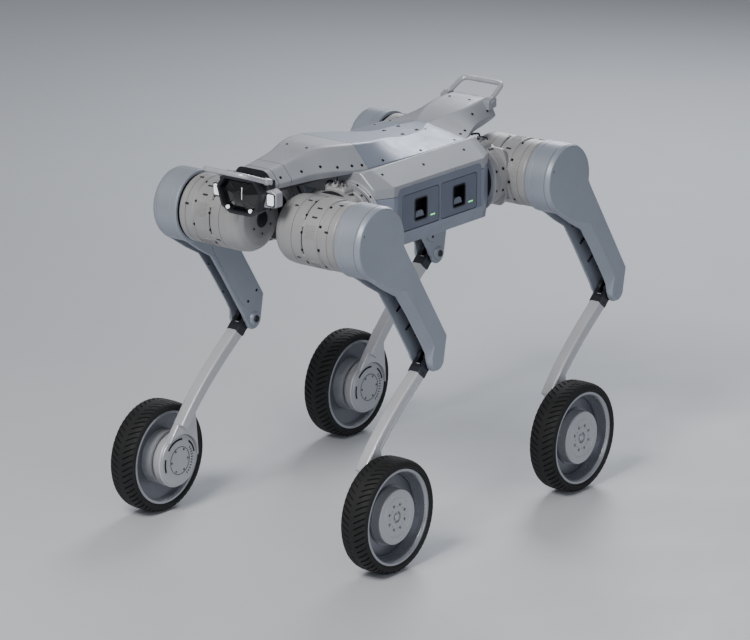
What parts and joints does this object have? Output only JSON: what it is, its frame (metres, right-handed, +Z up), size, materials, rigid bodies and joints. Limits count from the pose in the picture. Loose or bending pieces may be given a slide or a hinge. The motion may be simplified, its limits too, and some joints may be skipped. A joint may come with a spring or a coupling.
{
  "type": "quadruped robot with wheels",
  "caption": "Four-legged robot whose jointed legs end in driven wheels, with a box body, side batteries and two loop handles.",
  "frame": {"origin": "centre of the footprint box, on the floor under the tyres", "axes": "+X towards the head, +Y towards the robot's left, +Z up"},
  "size_m": [1.063, 0.694, 0.8614],
  "materials": {
    "painted_metal": "satin paint",
    "cover_plastic": "satin",
    "dark_plastic": "satin",
    "visor_gloss": "gloss",
    "lamp_lens": "gloss",
    "door_plastic": "satin",
    "bright_alloy": "satin",
    "steel_dark": "satin",
    "rubber": "matte",
    "circuit": "matte"
  },
  "bodies": {
    "body": {"chassis": "painted_metal", "top_cover": "cover_plastic", "neck_cover": "cover_plastic", "tail_cover": "cover_plastic", "head_housing": "dark_plastic", "visor": "visor_gloss", "head_lamps": "lamp_lens", "front_handle": "bright_alloy", "rear_handle": "bright_alloy", "belly_plate": "dark_plastic", "side_panel_right": "door_plastic", "abduction_motors": "steel_dark", "computer_unit": "circuit", "cover_screws": "steel_dark"},
    "battery_front": {"battery_front": "door_plastic"},
    "battery_rear": {"battery_rear": "door_plastic"},
    "latch_front": {"latch_front": "steel_dark"},
    "latch_rear": {"latch_rear": "steel_dark"},
    "hip_front_left": {"hip_bracket_front_left": "painted_metal", "hip_motor_front_left": "painted_metal"},
    "thigh_front_left": {"thigh_frame_front_left": "painted_metal", "thigh_cover_front_left": "painted_metal"},
    "crank_front_left": {"knee_crank_front_left": "steel_dark"},
    "rod_front_left": {"knee_rod_front_left": "steel_dark"},
    "calf_front_left": {"calf_front_left": "bright_alloy", "wheel_motor_front_left": "bright_alloy"},
    "wheel_front_left": {"wheel_rim_front_left": "bright_alloy", "tyre_front_left": "rubber"},
    "hip_front_right": {"hip_bracket_front_right": "painted_metal", "hip_motor_front_right": "painted_metal"},
    "thigh_front_right": {"thigh_frame_front_right": "painted_metal", "thigh_cover_front_right": "painted_metal"},
    "crank_front_right": {"knee_crank_front_right": "steel_dark"},
    "rod_front_right": {"knee_rod_front_right": "steel_dark"},
    "calf_front_right": {"calf_front_right": "bright_alloy", "wheel_motor_front_right": "bright_alloy"},
    "wheel_front_right": {"wheel_rim_front_right": "bright_alloy", "tyre_front_right": "rubber"},
    "hip_rear_left": {"hip_bracket_rear_left": "painted_metal", "hip_motor_rear_left": "painted_metal"},
    "thigh_rear_left": {"thigh_frame_rear_left": "painted_metal", "thigh_cover_rear_left": "painted_metal"},
    "crank_rear_left": {"knee_crank_rear_left": "steel_dark"},
    "rod_rear_left": {"knee_rod_rear_left": "steel_dark"},
    "calf_rear_left": {"calf_rear_left": "bright_alloy", "wheel_motor_rear_left": "bright_alloy"},
    "wheel_rear_left": {"wheel_rim_rear_left": "bright_alloy", "tyre_rear_left": "rubber"},
    "hip_rear_right": {"hip_bracket_rear_right": "painted_metal", "hip_motor_rear_right": "painted_metal"},
    "thigh_rear_right": {"thigh_frame_rear_right": "painted_metal", "thigh_cover_rear_right": "painted_metal"},
    "crank_rear_right": {"knee_crank_rear_right": "steel_dark"},
    "rod_rear_right": {"knee_rod_rear_right": "steel_dark"},
    "calf_rear_right": {"calf_rear_right": "bright_alloy", "wheel_motor_rear_right": "bright_alloy"},
    "wheel_rear_right": {"wheel_rim_rear_right": "bright_alloy", "tyre_rear_right": "rubber"}
  },
  "joints": [
    {"name": "battery_front_slide", "type": "slide", "parent": "body", "child": "battery_front", "axis": [0, -1, 0], "range_m": [-0.19, 0]},
    {"name": "battery_rear_slide", "type": "slide", "parent": "body", "child": "battery_rear", "axis": [0, 1, 0], "range_m": [0, 0.19]},
    {"name": "latch_front_tilt", "type": "hinge", "parent": "battery_front", "child": "latch_front", "pos_m": [0.09338, 0.1695, 0.67176], "axis": [-1, 0, 0], "range_deg": [0, 30], "stiffness_Nm_per_rad": 0.05},
    {"name": "latch_rear_tilt", "type": "hinge", "parent": "battery_rear", "child": "latch_rear", "pos_m": [-0.03962, 0.1695, 0.67176], "axis": [-1, 0, 0], "range_deg": [0, 30], "stiffness_Nm_per_rad": 0.05},
    {"name": "abduct_front_left", "type": "hinge", "parent": "body", "child": "hip_front_left", "pos_m": [0.22688, 0.095, 0.68676], "axis": [1, 0, 0], "range_deg": [-20, 50]},
    {"name": "thigh_swing_front_left", "type": "hinge", "parent": "hip_front_left", "child": "thigh_front_left", "pos_m": [0.35538, 0.237, 0.68676], "axis": [0, 1, 0], "range_deg": [-87, 20]},
    {"name": "knee_bend_front_left", "type": "hinge", "parent": "thigh_front_left", "child": "calf_front_left", "pos_m": [0.16475, 0.246, 0.39323], "axis": [0, 1, 0], "range_deg": [-80, 45]},
    {"name": "crank_turn_front_left", "type": "hinge", "parent": "thigh_front_left", "child": "crank_front_left", "pos_m": [0.35538, 0.234, 0.68676], "axis": [0, 1, 0], "range_deg": [-80, 45]},
    {"name": "rod_turn_front_left", "type": "hinge", "parent": "crank_front_left", "child": "rod_front_left", "pos_m": [0.3301, 0.246, 0.71776], "axis": [0, 1, 0], "range_deg": [-45, 80]},
    {"name": "wheel_spin_front_left", "type": "hinge", "parent": "calf_front_left", "child": "wheel_front_left", "pos_m": [0.38596, 0.336, 0.122], "axis": [0, 1, 0], "continuous": true},
    {"name": "abduct_front_right", "type": "hinge", "parent": "body", "child": "hip_front_right", "pos_m": [0.22688, -0.095, 0.68676], "axis": [1, 0, 0], "range_deg": [-50, 20]},
    {"name": "thigh_swing_front_right", "type": "hinge", "parent": "hip_front_right", "child": "thigh_front_right", "pos_m": [0.35538, -0.237, 0.68676], "axis": [0, 1, 0], "range_deg": [-87, 20]},
    {"name": "knee_bend_front_right", "type": "hinge", "parent": "thigh_front_right", "child": "calf_front_right", "pos_m": [0.16475, -0.246, 0.39323], "axis": [0, 1, 0], "range_deg": [-80, 45]},
    {"name": "crank_turn_front_right", "type": "hinge", "parent": "thigh_front_right", "child": "crank_front_right", "pos_m": [0.35538, -0.234, 0.68676], "axis": [0, 1, 0], "range_deg": [-80, 45]},
    {"name": "rod_turn_front_right", "type": "hinge", "parent": "crank_front_right", "child": "rod_front_right", "pos_m": [0.3301, -0.246, 0.71776], "axis": [0, 1, 0], "range_deg": [-45, 80]},
    {"name": "wheel_spin_front_right", "type": "hinge", "parent": "calf_front_right", "child": "wheel_front_right", "pos_m": [0.38596, -0.336, 0.122], "axis": [0, 1, 0], "continuous": true},
    {"name": "abduct_rear_left", "type": "hinge", "parent": "body", "child": "hip_rear_left", "pos_m": [-0.17312, 0.095, 0.68676], "axis": [1, 0, 0], "range_deg": [-20, 50]},
    {"name": "thigh_swing_rear_left", "type": "hinge", "parent": "hip_rear_left", "child": "thigh_rear_left", "pos_m": [-0.30162, 0.237, 0.68676], "axis": [0, 1, 0], "range_deg": [-40, 90]},
    {"name": "knee_bend_rear_left", "type": "hinge", "parent": "thigh_rear_left", "child": "calf_rear_left", "pos_m": [-0.49225, 0.246, 0.39323], "axis": [0, 1, 0], "range_deg": [-80, 45]},
    {"name": "crank_turn_rear_left", "type": "hinge", "parent": "thigh_rear_left", "child": "crank_rear_left", "pos_m": [-0.30162, 0.234, 0.68676], "axis": [0, 1, 0], "range_deg": [-80, 45]},
    {"name": "rod_turn_rear_left", "type": "hinge", "parent": "crank_rear_left", "child": "rod_rear_left", "pos_m": [-0.3269, 0.246, 0.71776], "axis": [0, 1, 0], "range_deg": [-45, 80]},
    {"name": "wheel_spin_rear_left", "type": "hinge", "parent": "calf_rear_left", "child": "wheel_rear_left", "pos_m": [-0.27104, 0.336, 0.122], "axis": [0, 1, 0], "continuous": true},
    {"name": "abduct_rear_right", "type": "hinge", "parent": "body", "child": "hip_rear_right", "pos_m": [-0.17312, -0.095, 0.68676], "axis": [1, 0, 0], "range_deg": [-50, 20]},
    {"name": "thigh_swing_rear_right", "type": "hinge", "parent": "hip_rear_right", "child": "thigh_rear_right", "pos_m": [-0.30162, -0.237, 0.68676], "axis": [0, 1, 0], "range_deg": [-40, 90]},
    {"name": "knee_bend_rear_right", "type": "hinge", "parent": "thigh_rear_right", "child": "calf_rear_right", "pos_m": [-0.49225, -0.246, 0.39323], "axis": [0, 1, 0], "range_deg": [-80, 45]},
    {"name": "crank_turn_rear_right", "type": "hinge", "parent": "thigh_rear_right", "child": "crank_rear_right", "pos_m": [-0.30162, -0.234, 0.68676], "axis": [0, 1, 0], "range_deg": [-80, 45]},
    {"name": "rod_turn_rear_right", "type": "hinge", "parent": "crank_rear_right", "child": "rod_rear_right", "pos_m": [-0.3269, -0.246, 0.71776], "axis": [0, 1, 0], "range_deg": [-45, 80]},
    {"name": "wheel_spin_rear_right", "type": "hinge", "parent": "calf_rear_right", "child": "wheel_rear_right", "pos_m": [-0.27104, -0.336, 0.122], "axis": [0, 1, 0], "continuous": true}
  ],
  "couplings": [
    {"joint": "crank_turn_front_left", "follows": "knee_bend_front_left", "ratio": 1},
    {"joint": "rod_turn_front_left", "follows": "knee_bend_front_left", "ratio": -1},
    {"joint": "crank_turn_front_right", "follows": "knee_bend_front_right", "ratio": 1},
    {"joint": "rod_turn_front_right", "follows": "knee_bend_front_right", "ratio": -1},
    {"joint": "crank_turn_rear_left", "follows": "knee_bend_rear_left", "ratio": 1},
    {"joint": "rod_turn_rear_left", "follows": "knee_bend_rear_left", "ratio": -1},
    {"joint": "crank_turn_rear_right", "follows": "knee_bend_rear_right", "ratio": 1},
    {"joint": "rod_turn_rear_right", "follows": "knee_bend_rear_right", "ratio": -1}
  ]
}
